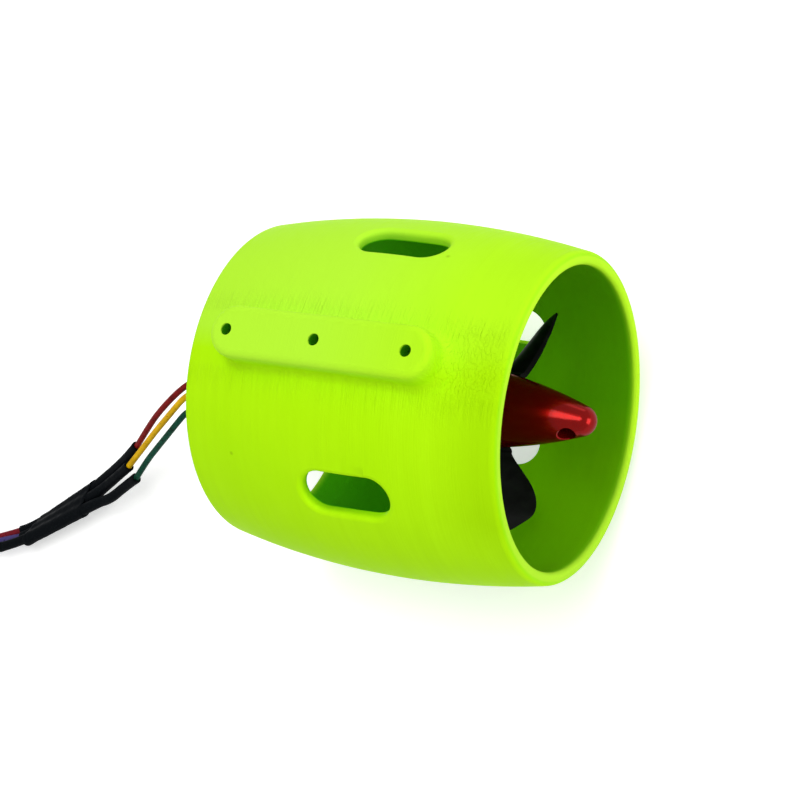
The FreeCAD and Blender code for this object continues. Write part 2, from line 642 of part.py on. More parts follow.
def spinner_nut():
    """Bullet-shaped nut: ogive sides, a ball nose, a blind bore and a cross hole for a bar."""
    tip = SPINNER_TIP_X
    nose_radius = SPINNER_NOSE_RADIUS

    def nose(depth):
        return at(tip - depth, math.sqrt(2 * nose_radius * depth - depth * depth))

    shoulder = nose(SPINNER_NOSE_DEPTH)
    base = at(SPINNER_X, SPINNER_RADIUS)
    middle = (shoulder + base) * 0.5
    side = base - shoulder
    out = V(-side.z, 0, side.x)
    if out.z < 0:
        out = out * -1
    middle = middle + out * (SPINNER_BULGE / out.Length)
    body = turned([
        line(at(SPINNER_X, 0), base),
        arc(base, middle, shoulder),
        arc(shoulder, nose(SPINNER_NOSE_DEPTH * 0.35), at(tip, 0)),
        line(at(tip, 0), at(SPINNER_X, 0)),
    ])
    rim = edges_at(body, lambda e: e.BoundBox.XMax < SPINNER_X + 1e-6 and e.BoundBox.ZLength > 1)
    body = body.makeChamfer(0.5, rim)
    body = body.cut(rod(SPINNER_X - 1, SPINNER_BORE_DEPTH + 1, STUD_RADIUS + SEAT_CLEARANCE))
    across = radial(CROSS_HOLE_ANGLE)
    centre = on_axis(tip - CROSS_HOLE_FROM_TIP)
    body = body.cut(Part.makeCylinder(CROSS_HOLE_RADIUS, 4 * SPINNER_RADIUS,
                                      centre - across * (2 * SPINNER_RADIUS), across))

    def on_mouth(edge):
        point = middle_of(edge) - centre
        along = point.dot(across)
        return abs((point - across * along).Length - CROSS_HOLE_RADIUS) < 1e-3 and edge.Length > 3

    mouths = edges_at(body, on_mouth)
    return body.makeChamfer(CROSS_HOLE_CHAMFER, mouths)


def route(points, diameter, name):
    """Round tube along a route: straight runs joined by tangent arcs, as large as the runs allow."""
    runs = [points[i + 1] - points[i] for i in range(len(points) - 1)]
    edges = []
    start = points[0]
    radii = []
    for i in range(1, len(points) - 1):
        a, b = runs[i - 1], runs[i]
        half_turn = a.getAngle(b) / 2
        shorter = min(a.Length, b.Length)
        back = 0.45 * shorter
        radii.append(back / math.tan(half_turn))
        into = V(a).normalize()
        away = V(b).normalize()
        first = points[i] - into * back
        last = points[i] + away * back
        to_centre = (away - into).normalize()
        sagitta = radii[-1] / math.cos(half_turn) - radii[-1]
        middle = points[i] + to_centre * sagitta
        edges.append(line(start, first))
        edges.append(arc(first, middle, last))
        start = last
    edges.append(line(start, points[-1]))
    path = Part.Wire(edges)
    circle = Part.Wire(Part.makeCircle(diameter / 2, points[0], runs[0]))
    tube = path.makePipeShell([circle], True, False)
    expected = path.Length * math.pi * diameter * diameter / 4
    print("%s: %.1f mm long, smallest radius %.1f, volume %.4f of section times length, valid %s" % (
        name, path.Length, min(radii) if radii else 0, tube.Volume / expected, tube.isValid()))
    return tube


LEAD_ROUTES = {
    "red": [V(-18.8, 2.1, -61.5), V(-36.0, 2.1, -61.5), V(-54.0, 1.3, -61.0), V(-70.0, -0.5, -61.3),
            V(-79.0, -3.4, -63.7), V(-90.2, -9.8, -70.0), V(-97.6, -14.9, -76.2), V(-103.1, -19.3, -81.0)],
    "yellow": [V(-18.8, 0.0, -61.5), V(-35.5, 0.0, -61.5), V(-53.0, -0.9, -61.2), V(-68.0, -3.3, -62.0),
               V(-77.5, -5.6, -63.6), V(-85.5, -11.0, -68.5), V(-93.2, -15.6, -74.3),
               V(-100.7, -20.9, -80.0), V(-106.3, -25.1, -83.9)],
    "green": [V(-18.8, -2.1, -61.5), V(-35.0, -2.1, -61.5), V(-52.0, -3.6, -61.8), V(-66.0, -6.3, -63.0),
              V(-77.6, -9.6, -66.0), V(-83.9, -13.7, -70.0), V(-91.8, -19.0, -76.0),
              V(-98.2, -23.3, -80.7), V(-103.4, -28.1, -85.0)],
}

# Each splice: its place in the bundle's row, its points before the bundle, how far it runs straight on
# past the bundle, and its far end.
SPLICE_ROUTES = {
    "red": (1, [V(-108.9, -22.9, -85.2), V(-115.5, -26.6, -89.3), V(-119.7, -29.3, -91.5)], 2.2,
            V(-148.5, -48.1, -95.35)),
    "yellow": (0, [V(-111.0, -27.8, -86.5), V(-116.4, -30.9, -89.5)], 2.4, V(-147.0, -50.5, -94.1)),
    "green": (-1, [V(-108.6, -31.0, -87.4), V(-114.3, -35.2, -89.5)], 4.0, V(-152.7, -55.4, -92.4)),
}

# Each extension wire, on its splice: red on red, blue on yellow, black on green.
EXTENSION_ROUTES = {
    "red": [V(-148.5, -48.1, -95.35), V(-158.2, -52.2, -96.5), V(-172.1, -56.9, -96.3),
            V(-185.1, -62.3, -96.05)],
    "blue": [V(-147.0, -50.5, -94.1), V(-158.0, -54.3, -94.8), V(-171.2, -59.3, -96.0),
             V(-184.2, -64.5, -96.05)],
    "black": [V(-152.7, -55.4, -92.4), V(-161.0, -57.6, -93.4), V(-172.5, -62.5, -95.8),
              V(-183.4, -66.8, -96.05)],
}

# The same wires from the top of the coil to their connectors.
TAIL_ROUTES = {
    "red": [V(-194.7, -63.5, -88.8), V(-198.4, -62.9, -88.5), V(-201.5, -60.7, -88.1),
            V(-203.3, -57.2, -87.8), V(-203.4, -51.0, -87.4), V(-203.3, -43.4, -86.5),
            V(-203.3, -36.0, -86.5)],
    "blue": [V(-195.0, -65.8, -88.8), V(-199.5, -65.1, -88.5), V(-205.1, -61.2, -88.0),
             V(-208.2, -55.0, -87.7), V(-208.4, -48.6, -87.2), V(-208.3, -42.6, -86.5),
             V(-208.3, -37.6, -86.5)],
    "black": [V(-195.4, -68.1, -88.8), V(-200.8, -67.3, -88.4), V(-209.2, -61.3, -87.9),
              V(-213.4, -53.2, -87.4), V(-213.6, -47.4, -86.5), V(-213.6, -42.0, -86.5)],
}


def bundle_axes():
    """Direction along the bundled splices, and across them from the yellow one to the red one."""
    along = (BUNDLE_END - BUNDLE_START).normalize()
    level = V(along.y, -along.x, 0).normalize()
    upright = level.cross(along)
    tilt = math.radians(BUNDLE_TILT)
    across = level * math.cos(tilt) - upright * math.sin(tilt)
    return along, across


def splice(colour):
    """Soldered joint under heat-shrink: from the lead's end, straight through the bundle, and out."""
    row, before, straight_on, end = SPLICE_ROUTES[colour]
    along, across = bundle_axes()
    first = BUNDLE_START + across * (row * BUNDLE_SPACING)
    last = BUNDLE_END + across * (row * BUNDLE_SPACING)
    points = [LEAD_ROUTES[colour][-1]] + before + [first - along * 2.4, last + along * straight_on, end]
    return route(points, SPLICE_DIAMETER, "splice_" + colour)


def bundle_sleeve():
    """Wide heat-shrink sleeve that holds the three splices side by side."""
    along, across = bundle_axes()
    upright = across.cross(along)
    outer = SPLICE_DIAMETER / 2 + BUNDLE_WALL
    reach = across * BUNDLE_SPACING
    side = upright * outer
    far = across * (BUNDLE_SPACING + outer)
    s = BUNDLE_START
    wire = Part.Wire([
        line(s - reach + side, s + reach + side),
        arc(s + reach + side, s + far, s + reach - side),
        line(s + reach - side, s - reach - side),
        arc(s - reach - side, s - far, s - reach + side),
    ])
    body = Part.Face(wire).extrude(BUNDLE_END - BUNDLE_START)
    length = (BUNDLE_END - BUNDLE_START).Length
    for row in (-1, 0, 1):
        hole = Part.makeCylinder(SPLICE_DIAMETER / 2 + SEAT_CLEARANCE, length + 2,
                                 s - along + across * (row * BUNDLE_SPACING), along)
        body = body.cut(hole)
    return body


def round_coil(width, height, clearance, corner):
    """Outline of the coil's section, grown by a clearance, in the XZ plane at the right of the coil."""
    x = COIL_CENTRE_X + COIL_RADIUS
    half = width / 2 + clearance
    low = COIL_FLOOR_Z - clearance
    high = COIL_FLOOR_Z + height + clearance
    box = Part.makeBox(2 * half, 1, high - low, V(x - half, COIL_CENTRE_Y - 0.5, low))
    ends = edges_at(box, lambda e: e.BoundBox.YLength > 0.5)
    box = box.makeFillet(corner + clearance, ends)
    face = edges_at(box, lambda e: e.BoundBox.YMax < COIL_CENTRE_Y - 0.4)
    wire = Part.Wire(Part.__sortEdges__(face))
    wire.translate(V(0, 0.5, 0))
    return wire


def cable_coil():
    """Outer shape of the three extension wires, wound together."""
    section = Part.Face(round_coil(COIL_WIDTH, COIL_HEIGHT, 0, EXTENSION_DIAMETER / 2))
    return section.revolve(V(COIL_CENTRE_X, COIL_CENTRE_Y, 0), V(0, 0, 1), 360)


def coil_tie():
    """Strap round the coil."""
    corner = EXTENSION_DIAMETER / 2
    outer = Part.Face(round_coil(COIL_WIDTH, COIL_HEIGHT, TIE_THICKNESS, corner))
    inner = Part.Face(round_coil(COIL_WIDTH, COIL_HEIGHT, 0, corner))
    section = outer.cut(inner)
    angle = math.degrees(TIE_WIDTH / COIL_RADIUS)
    centre = V(COIL_CENTRE_X, COIL_CENTRE_Y, 0)
    band = section.revolve(centre, V(0, 0, 1), angle)
    band.rotate(centre, V(0, 0, 1), TIE_ANGLE - angle / 2)
    return band


def lathe_on_tail(colour, profile):
    """Solid turned round a tail's last run from (distance past the wire's end, radius) points."""
    end = TAIL_ROUTES[colour][-1]
    direction = (end - TAIL_ROUTES[colour][-2]).normalize()
    points = [end + direction * d + V(0, 0, r) for d, r in profile]
    wire = Part.makePolygon(points + [points[0]])
    return Part.Face(wire).revolve(end, direction, 360)


def bullet(colour):
    """Gold bullet plug: solder barrel with its collar, and the bulged pin."""
    barrel = BULLET_BARREL_LENGTH
    pin = barrel + BULLET_PIN_LENGTH
    neck = BULLET_RADIUS * 0.8
    return lathe_on_tail(colour, [
        (0, 0), (0, BULLET_BARREL_RADIUS), (barrel, BULLET_BARREL_RADIUS), (barrel, neck),
        (barrel + 1.0, neck), (barrel + 2.2, BULLET_RADIUS), (pin - 2.2, BULLET_RADIUS),
        (pin - 1.0, neck), (pin, BULLET_RADIUS * 0.45), (pin, 0),
    ])


def bullet_cover(colour):
    """Heat-shrink from the wire over the plug's barrel."""
    wire = EXTENSION_DIAMETER / 2 + PRESS_CLEARANCE
    barrel = BULLET_BARREL_RADIUS + PRESS_CLEARANCE
    end = BULLET_BARREL_LENGTH - 0.5
    outer = BULLET_BARREL_RADIUS + COVER_WALL
    return lathe_on_tail(colour, [
        (-COVER_BACK, wire), (-COVER_BACK, wire + COVER_WALL), (-0.8, wire + COVER_WALL), (0.6, outer),
        (end, outer), (end, barrel), (-PRESS_CLEARANCE, barrel), (-PRESS_CLEARANCE, wire),
    ])


def all_parts():
    parts = {
        "duct": duct(),
        "motor_base": motor_base(),
        "motor_screws": motor_screws(),
        "rear_bearing": bearing(SEAT_X),
        "front_bearing": bearing(TUBE_END_X - BEARING_WIDTH),
        "stator_core": stator_core(),
        "stator_coils": stator_coils(),
        "flux_ring": flux_ring(),
        "magnets": magnets(),
        "end_cap": end_cap(),
        "shaft": shaft(),
        "circlip": circlip(),
        "shim": shim(),
        "propeller_adapter": propeller_adapter(),
        "adapter_screws": adapter_screws(),
        "propeller": propeller(),
        "washer": washer(),
        "spinner_nut": spinner_nut(),
        "bundle_sleeve": bundle_sleeve(),
        "cable_coil": cable_coil(),
        "coil_tie": coil_tie(),
    }
    for colour, points in LEAD_ROUTES.items():
        parts["lead_" + colour] = route(points, LEAD_DIAMETER, "lead_" + colour)
        parts["splice_" + colour] = splice(colour)
    for colour in EXTENSION_ROUTES:
        name = "extension_" + colour
        parts[name] = route(EXTENSION_ROUTES[colour], EXTENSION_DIAMETER, name)
        name = "tail_" + colour
        parts[name] = route(TAIL_ROUTES[colour], EXTENSION_DIAMETER, name)
        parts["bullet_" + colour] = bullet(colour)
        parts["bullet_cover_" + colour] = bullet_cover(colour)
    return parts


if __name__ == "__main__":
    for name, shape in all_parts().items():
        shape.exportStep("parts/%s.step" % name)
        print("%s: %d solids, valid %s, volume %.1f" % (name, len(shape.Solids), shape.isValid(),
                                                       shape.Volume))
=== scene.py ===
"""An underwater thruster in a lime printed duct, on a pale floor in soft studio light."""
import math

import bpy
import numpy as np
from mathutils import Matrix, Vector


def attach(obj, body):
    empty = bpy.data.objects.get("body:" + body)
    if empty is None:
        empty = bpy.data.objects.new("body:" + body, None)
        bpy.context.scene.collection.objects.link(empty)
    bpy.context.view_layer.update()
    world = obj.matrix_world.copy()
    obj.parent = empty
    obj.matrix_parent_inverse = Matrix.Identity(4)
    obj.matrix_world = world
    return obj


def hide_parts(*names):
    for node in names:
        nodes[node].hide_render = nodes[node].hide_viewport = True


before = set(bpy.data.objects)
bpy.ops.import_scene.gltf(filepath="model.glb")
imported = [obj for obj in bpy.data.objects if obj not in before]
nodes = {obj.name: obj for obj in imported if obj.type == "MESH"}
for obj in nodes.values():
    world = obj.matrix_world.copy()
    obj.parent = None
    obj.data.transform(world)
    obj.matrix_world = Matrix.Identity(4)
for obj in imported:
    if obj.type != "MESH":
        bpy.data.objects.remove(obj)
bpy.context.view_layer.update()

# Camera, at the photograph's viewing angle
CAMERA_TARGET = Vector((-0.001727, -0.001536, -0.049234))
CAMERA_DISTANCE = 0.509682
CAMERA_AZIMUTH = math.radians(70.559)
CAMERA_ELEVATION = math.radians(58.469)
CAMERA_ROLL = math.radians(-59.772)
CAMERA_LENS = 89.52
CAMERA_SENSOR_WIDTH = 36.0

# The thruster's own places, in metres
AXIS_Z = -0.052
FLOOR_Z = -0.0977
INTAKE_X = -0.0421
OUTLET_X = 0.0459
DUCT_LENGTH = OUTLET_X - INTAKE_X
SKIN_END = 0.0413
SKIN_BELLY = 0.0457
DUCT_WALL = 0.0029
HOLE_PITCH = 0.025
HOLE_RADIUS = 0.0015
PAD_HALF_WIDTH = 0.0065
ROUGH_PATCH = (0.037, 0.001, -0.009)
BLEMISHES = ((0.0205, 0.0283, -0.0171), (-0.0265, -0.0270, -0.0174))

# Cords
LEAD = 0.0018
SPLICE = 0.0030
EXTENSION = 0.0023
SPLICE_LEAD_IN = 0.0024
SPLICE_END_BORE = EXTENSION / 2 - 0.0002
BUNDLE_WALL = 0.00045
BUNDLE_LINING = 0.0001
BUNDLE_DIP = 0.00022
BUNDLE_SPACING = 0.0032
BUNDLE_START = Vector((-0.1232, -0.0356, -0.0916))
BUNDLE_END = Vector((-0.1416, -0.0480, -0.0936))
BUNDLE_TILT = (20.0, 42.0)
BUNDLE_SKEW = 0.002
COIL_CENTRE = Vector((-0.192, -0.045, 0))
COIL_PITCH = 0.00235
COIL_ENTRY_ANGLE = -68.3
COIL_TURNS = 3.0 + 30.0 / 360
COIL_START_Z = -0.09605


def points_mm(*rows):
    return [Vector(row) / 1000 for row in rows]


LEAD_ROUTES = {
    "red": points_mm((-18.8, 2.1, -61.5), (-36, 2.1, -61.5), (-54, 1.6, -61), (-70, 0.8, -61.3),
                     (-79, -2.3, -63.7), (-90.2, -9.8, -70), (-97.6, -14.9, -76.2), (-103.1, -19.3, -81)),
    "yellow": points_mm((-18.8, 0, -61.5), (-35.5, 0, -61.5), (-53, -0.8, -61.2), (-68, -2.5, -62),
                        (-77.5, -4.7, -63.6), (-85.5, -11, -68.5), (-93.2, -15.6, -74.3),
                        (-100.7, -20.9, -80), (-106.3, -25.1, -83.9)),
    "green": points_mm((-18.8, -2.1, -61.5), (-35, -2.1, -61.5), (-52, -3.6, -61.8), (-66, -5.6, -63),
                       (-77.6, -8.9, -66), (-83.9, -13.9, -70), (-91.8, -19, -76), (-98.2, -23.3, -80.7),
                       (-103.4, -28.1, -85)),
}

# Each splice sits at this place in the row under the wide sleeve
SPLICE_ROW = {"red": 1, "yellow": 0, "green": -1}
SPLICE_APPROACH = {
    "red": points_mm((-108.9, -22.9, -85.2), (-115.5, -26.6, -89.3), (-119.7, -29.3, -91.5)),
    "yellow": points_mm((-111, -27.8, -86.6), (-116.4, -30.9, -89.5)),
    "green": points_mm((-108.6, -31, -87.4), (-114.3, -35.2, -89.5)),
}
SPLICE_PAST_SLEEVE = {"red": 0.0012, "yellow": 0.0024, "green": 0.0040}

# Each lead's splice joins it to one extension wire
EXTENSION_OF = {"red": "red", "yellow": "blue", "green": "black"}
EXTENSION_ROUTES = {
    "red": points_mm((-148.5, -48.9, -95.35), (-158.2, -52.6, -96.5), (-172.1, -56.9, -96.3),
                     (-185.1, -62.3, -96.05)),
    "blue": points_mm((-147, -50.7, -94.6), (-158, -54.0, -95.6), (-171.2, -59.3, -96),
                      (-184.2, -64.5, -96.05)),
    "black": points_mm((-152.7, -55.4, -92.4), (-161, -57.6, -93.4), (-172.5, -62.5, -95.8),
                       (-183.4, -66.8, -96.05)),
}
COIL_RADII = {"red": 0.01865, "blue": 0.021, "black": 0.02335}
TAIL_ROUTES = {
    "red": points_mm((-194.7, -63.5, -88.8), (-198.4, -62.9, -88.5), (-201.5, -60.7, -88.1),
                     (-203.3, -57.2, -87.8), (-203.4, -51, -87.4), (-203.3, -43.4, -86.5),
                     (-203.3, -36, -86.5)),
    "blue": points_mm((-195, -65.8, -88.8), (-199.5, -65.1, -88.5), (-205.1, -61.2, -88),
                      (-208.2, -55, -87.7), (-208.4, -48.6, -87.2), (-208.3, -42.6, -86.5),
                      (-208.3, -37.6, -86.5)),
    "black": points_mm((-195.4, -68.1, -88.8), (-200.8, -67.3, -88.4), (-209.2, -61.3, -87.9),
                       (-213.4, -53.2, -87.4), (-213.6, -47.4, -86.5), (-213.6, -42, -86.5)),
}


# Node helpers

class Shader:
    """A material with its node tree and a few short ways to add to it."""

    def __init__(self, name, colour, roughness, metallic=0.0, **inputs):
        self.material = bpy.data.materials.new(name)
        self.material.use_nodes = True
        self.tree = self.material.node_tree
        self.surface = self.tree.nodes["Principled BSDF"]
        self.surface.inputs["Base Color"].default_value = (*colour, 1)
        self.surface.inputs["Roughness"].default_value = roughness
        self.surface.inputs["Metallic"].default_value = metallic
        for key, value in inputs.items():
            self.surface.inputs[key.replace("_", " ")].default_value = value
        self.place = self.tree.nodes.new("ShaderNodeTexCoord").outputs["Object"]

    def node(self, kind, **settings):
        made = self.tree.nodes.new(kind)
        for key, value in settings.items():
            setattr(made, key, value)
        return made

    def link(self, source, socket):
        self.tree.links.new(source, socket)

    def math(self, operation, first, second=None, third=None):
        """One sum on numbers or sockets."""
        made = self.node("ShaderNodeMath", operation=operation)
        for socket, value in zip(made.inputs, (first, second, third)):
            if isinstance(value, (int, float)):
                socket.default_value = value
            elif value is not None:
                self.link(value, socket)
        return made.outputs[0]

    def product(self, *factors):
        total = factors[0]
        for factor in factors[1:]:
            total = self.math("MULTIPLY", total, factor)
        return total

    def stretched(self, scale):
        """The piece's own coordinates, scaled differently along each axis."""
        mapping = self.node("ShaderNodeMapping")
        mapping.inputs["Scale"].default_value = scale
        self.link(self.place, mapping.inputs["Vector"])
        return mapping.outputs[0]

    def noise(self, scale, detail=2.0, vector=None, roughness=0.5):
        made = self.node("ShaderNodeTexNoise")
        made.inputs["Scale"].default_value = scale
        made.inputs["Detail"].default_value = detail
        made.inputs["Roughness"].default_value = roughness
        self.link(vector or self.place, made.inputs["Vector"])
        return made.outputs["Fac"]

    def from_axis(self):
        """Distance from the thruster's turning axis."""
        moved = self.node("ShaderNodeVectorMath", operation="ADD")
        moved.inputs[1].default_value = (0, 0, -AXIS_Z)
        self.link(self.place, moved.inputs[0])
        flat = self.node("ShaderNodeVectorMath", operation="MULTIPLY")
        flat.inputs[1].default_value = (0, 1, 1)
        self.link(moved.outputs[0], flat.inputs[0])
        length = self.node("ShaderNodeVectorMath", operation="LENGTH")
        self.link(flat.outputs[0], length.inputs[0])
        return length.outputs["Value"]

    def part(self, axis):
        """One of the piece's own coordinates."""
        split = self.node("ShaderNodeSeparateXYZ")
        self.link(self.place, split.inputs[0])
        return split.outputs[axis]

    def distance(self, point):
        apart = self.node("ShaderNodeVectorMath", operation="DISTANCE")
        self.link(self.place, apart.inputs[0])
        apart.inputs[1].default_value = point
        return apart.outputs["Value"]

    def in_hole(self):
        """1 on the walls of the pad's screw holes, below their rims."""
        x = self.math("WRAP", self.part("X"), HOLE_PITCH / 2, -HOLE_PITCH / 2)
        y = self.part("Y")
        from_hole = self.math("SQRT", self.math("MULTIPLY_ADD", x, x, self.product(y, y)))
        inside = self.ramp(from_hole, HOLE_RADIUS + 0.00005, HOLE_RADIUS + 0.0002, 1.0, 0.0)
        z = self.part("Z")
        below_rim = self.ramp(z, -0.0007, -0.0002, 1.0, 0.0)
        above_bottom = self.ramp(z, -0.021, -0.02)
        return self.product(inside, below_rim, above_bottom)

    def waves(self, value, period):
        """Ridges of that period, from -1 to 1."""
        return self.math("SINE", self.math("MULTIPLY", value, 2 * math.pi / period))

    def ramp(self, value, low, high, to_low=0.0, to_high=1.0):
        """A straight change from to_low to to_high while the value goes from low to high."""
        made = self.node("ShaderNodeMapRange")
        made.inputs["From Min"].default_value = low
        made.inputs["From Max"].default_value = high
        made.inputs["To Min"].default_value = to_low
        made.inputs["To Max"].default_value = to_high
        self.link(value, made.inputs["Value"])
        return made.outputs["Result"]

    def mix(self, fraction, first, second):
        """Colour between two, each a tuple or another mix."""
        made = self.node("ShaderNodeMix", data_type="RGBA")
        self.link(fraction, made.inputs["Factor"])
        for socket, value in ((made.inputs[6], first), (made.inputs[7], second)):
            if isinstance(value, tuple):
                socket.default_value = (*value, 1)
            else:
                self.link(value, socket)
        return made.outputs[2]

    def colour(self, source):
        self.link(source, self.surface.inputs["Base Color"])

    def roughness(self, source):
        self.link(source, self.surface.inputs["Roughness"])

    def relief(self, *layers):
        """Bump from pairs of a height and its depth in metres."""
        normal = None
        for height, depth in layers:
            bump = self.node("ShaderNodeBump")
            bump.inputs["Distance"].default_value = depth
            self.link(height, bump.inputs["Height"])
            if normal is not None:
                self.link(normal, bump.inputs["Normal"])
            normal = bump.outputs["Normal"]
        self.link(normal, self.surface.inputs["Normal"])


# Greens of the printed plastic: its own skin tones and blemish, and painted sheen, painted light and
# painted shade on the skin, lips and bore. Near and far mean the sides below and above zero along Y.
LIME_SKIN = (0.45, 0.895, 0.003)
LIME_SKIN_BLOTCH = (0.48, 0.925, 0.005)
LIME_SKIN_BAND = (0.44, 0.87, 0.003)
# Painted sheen: the skin's paler green on its far upper side and the pad
LIME_SKIN_PAINTED_SHEEN = (0.47, 0.90, 0.036)
# Painted shade: the skin's darker green near the outlet end
LIME_SKIN_PAINTED_SHADE_AT_OUTLET = (0.39, 0.77, 0.002)
LIME_BLEMISH = (0.25, 0.55, 0.002)
# Painted light and shade on the lips: a shaded inner edge, and a lit rim that is lighter on the far side
LIME_LIP_EDGE_PAINTED_SHADE = (0.15, 0.72, 0.001)
LIME_LIP_NEAR_PAINTED_LIGHT = (0.48, 0.83, 0.035)
LIME_LIP_FAR_PAINTED_LIGHT = (0.55, 0.95, 0.025)
# Painted shade in the bore and screw holes: deepest in the intake half, lighter past the middle and on
# the near side
LIME_BORE_PAINTED_SHADE_DEEP = (0.06, 0.43, 0.001)
LIME_BORE_PAINTED_SHADE_NEAR_MOUTH = (0.19, 0.57, 0.001)
LIME_BORE_PAINTED_SHADE_NEAR_MIDDLE = (0.32, 0.93, 0.001)
LIME_BORE_PAINTED_SHADE_FAR_MOUTH = (0.12, 0.46, 0.001)
LIME_BORE_PAINTED_SHADE_FAR_MIDDLE = (0.17, 0.60, 0.001)


def lime_skin(made, along, across, height):
    """Blotches and bands, with painted sheen on the far upper side and the pad, and painted shade near
    the outlet.
    """
    bands = made.noise(1.0, 2.0, made.stretched((420, 12, 12)))
    blotches = made.noise(55, 3.0)
    tint = made.mix(made.ramp(blotches, 0.3, 0.7), LIME_SKIN, LIME_SKIN_BLOTCH)
    tint = made.mix(made.ramp(bands, 0.35, 0.7, 0.0, 0.6), tint, LIME_SKIN_BAND)

    # Painted sheen, on the far upper side and the pad, less towards the outlet
    far_upper = made.product(made.ramp(across, -0.003, 0.003), made.ramp(height, -0.07, -0.03))
    pad_face = made.ramp(height, -0.005, -0.002)
    painted_sheen = made.math("MAXIMUM", far_upper, pad_face)
    less_at_outlet = made.ramp(along, 0.0, 0.03, 1.0, 0.3)
    tint = made.mix(made.product(painted_sheen, less_at_outlet), tint, LIME_SKIN_PAINTED_SHEEN)

    # Painted shade near the outlet end, less on the far side and none at the near edge
    outlet_end = made.ramp(along, 0.029, 0.041)
    less_on_far_side = made.ramp(across, -0.002, 0.010, 1.0, 0.2)
    not_on_near_edge = made.ramp(across, -0.040, -0.033)
    painted_shade_at_outlet = made.product(outlet_end, less_on_far_side, not_on_near_edge)
    tint = made.mix(painted_shade_at_outlet, tint, LIME_SKIN_PAINTED_SHADE_AT_OUTLET)

    for place in BLEMISHES:
        spot = made.ramp(made.distance(place), 0.0002, 0.0007, 0.6, 0.0)
        tint = made.mix(spot, tint, LIME_BLEMISH)
    return tint


def lime_bore_painted_shade(made, along, across, outside_holes):
    """Painted shade of the bore: deep green in the intake half and the screw holes, and lightest past the
    middle.

    It is painted darker again at the outlet's mouth."""
    middle = made.ramp(along, 0.020, 0.040, 1.0, 0.0)
    near_side = made.mix(middle, LIME_BORE_PAINTED_SHADE_NEAR_MOUTH, LIME_BORE_PAINTED_SHADE_NEAR_MIDDLE)
    far_side = made.mix(middle, LIME_BORE_PAINTED_SHADE_FAR_MOUTH, LIME_BORE_PAINTED_SHADE_FAR_MIDDLE)
    outlet_painted_shade = made.mix(made.ramp(across, -0.002, 0.014), near_side, far_side)
    outlet_part = made.product(made.ramp(along, 0.0, 0.014), outside_holes)
    return made.mix(outlet_part, LIME_BORE_PAINTED_SHADE_DEEP, outlet_painted_shade)


def print_layers(made, along, across, height, uneven):
    """Relief of the print: its layers, rough marks, streaks beside the pad and a maze past it."""
    layers = made.waves(along, 0.0003)
    rough_marks = made.noise(1.0, 3.0, made.stretched((1500, 900, 900)), 0.7)
    patches = made.ramp(made.noise(38, 2.0), 0.56, 0.66)
    marks = made.product(rough_marks, patches)

    aside = made.math("ABSOLUTE", across)
    off_pad = made.ramp(aside, PAD_HALF_WIDTH - 0.0005, PAD_HALF_WIDTH + 0.001)
    near_pad = made.ramp(aside, 0.010, 0.015, 1.0, 0.0)
    on_top = made.ramp(height, -0.022, -0.012)
    streak_noise = made.noise(1.0, 3.0, made.stretched((1500, 40, 40)), 0.65)
    streaks = made.product(made.math("SUBTRACT", streak_noise, 0.5), off_pad, near_pad, on_top)

    maze_noise = made.noise(1.0, 1.0, made.stretched((900, 500, 500)))
    wiggle = made.math("ABSOLUTE", made.math("SUBTRACT", maze_noise, 0.5))
    spread = made.ramp(made.distance(ROUGH_PATCH), 0.006, 0.013, 1.0, 0.0)
    maze = made.product(made.ramp(wiggle, 0.0, 0.1), spread)
    made.relief((layers, 0.000004), (uneven, 0.00008), (marks, 0.00012), (streaks, 0.0005),
                (maze, 0.00012))


def lime_plastic():
    """Printed plastic, with the skin's green on the outside and painted shade, a deeper green, in the
    bore.

    The walls of the slots fade from the skin's green into the painted shade, and the screw holes take the
    bore's painted shade."""
    made = Shader("lime_plastic", (0.46, 0.90, 0.006), 0.48, Specular_IOR_Level=0.01)
    along = made.part("X")
    across = made.part("Y")
    height = made.part("Z")
    from_middle = made.math("SUBTRACT", along, (INTAKE_X + OUTLET_X) / 2)
    share = made.math("DIVIDE", from_middle, DUCT_LENGTH / 2)
    skin_radius = made.math("MULTIPLY_ADD", made.product(share, share), SKIN_END - SKIN_BELLY, SKIN_BELLY)
    depth = made.math("SUBTRACT", skin_radius, made.from_axis())

    # The slot walls fade into the bore's painted shade, which the screw holes take too
    fading = made.ramp(depth, 0.0006, DUCT_WALL, 1.0, 0.35)
    outside_bore = made.ramp(depth, DUCT_WALL - 0.00035, DUCT_WALL - 0.0001, 1.0, 0.0)
    outside_holes = made.ramp(made.in_hole(), 0.0, 1.0, 1.0, 0.0)
    on_skin = made.product(fading, outside_bore, outside_holes)
    # The bore's painted shade
    bore = lime_bore_painted_shade(made, along, across, outside_holes)
    plain = made.mix(on_skin, bore, lime_skin(made, along, across, height))

    # Painted light and shade on the lips at both ends: the inner edge painted shaded, the rim painted lit
    at_end = made.ramp(made.math("ABSOLUTE", share), 0.935, 0.985, 0.0, 0.9)
    on_lip = made.product(at_end, made.ramp(depth, 0.0003, 0.0012))
    lip = made.mix(made.ramp(across, -0.010, 0.010), LIME_LIP_NEAR_PAINTED_LIGHT, LIME_LIP_FAR_PAINTED_LIGHT)
    lip = made.mix(on_lip, LIME_LIP_EDGE_PAINTED_SHADE, lip)
    made.colour(made.mix(on_lip, plain, lip))

    uneven = made.noise(1.0, 2.0, made.stretched((2600, 70, 70)))
    made.roughness(made.ramp(uneven, 0.3, 0.7, 0.4, 0.52))
    print_layers(made, along, across, height, uneven)
    return made.material


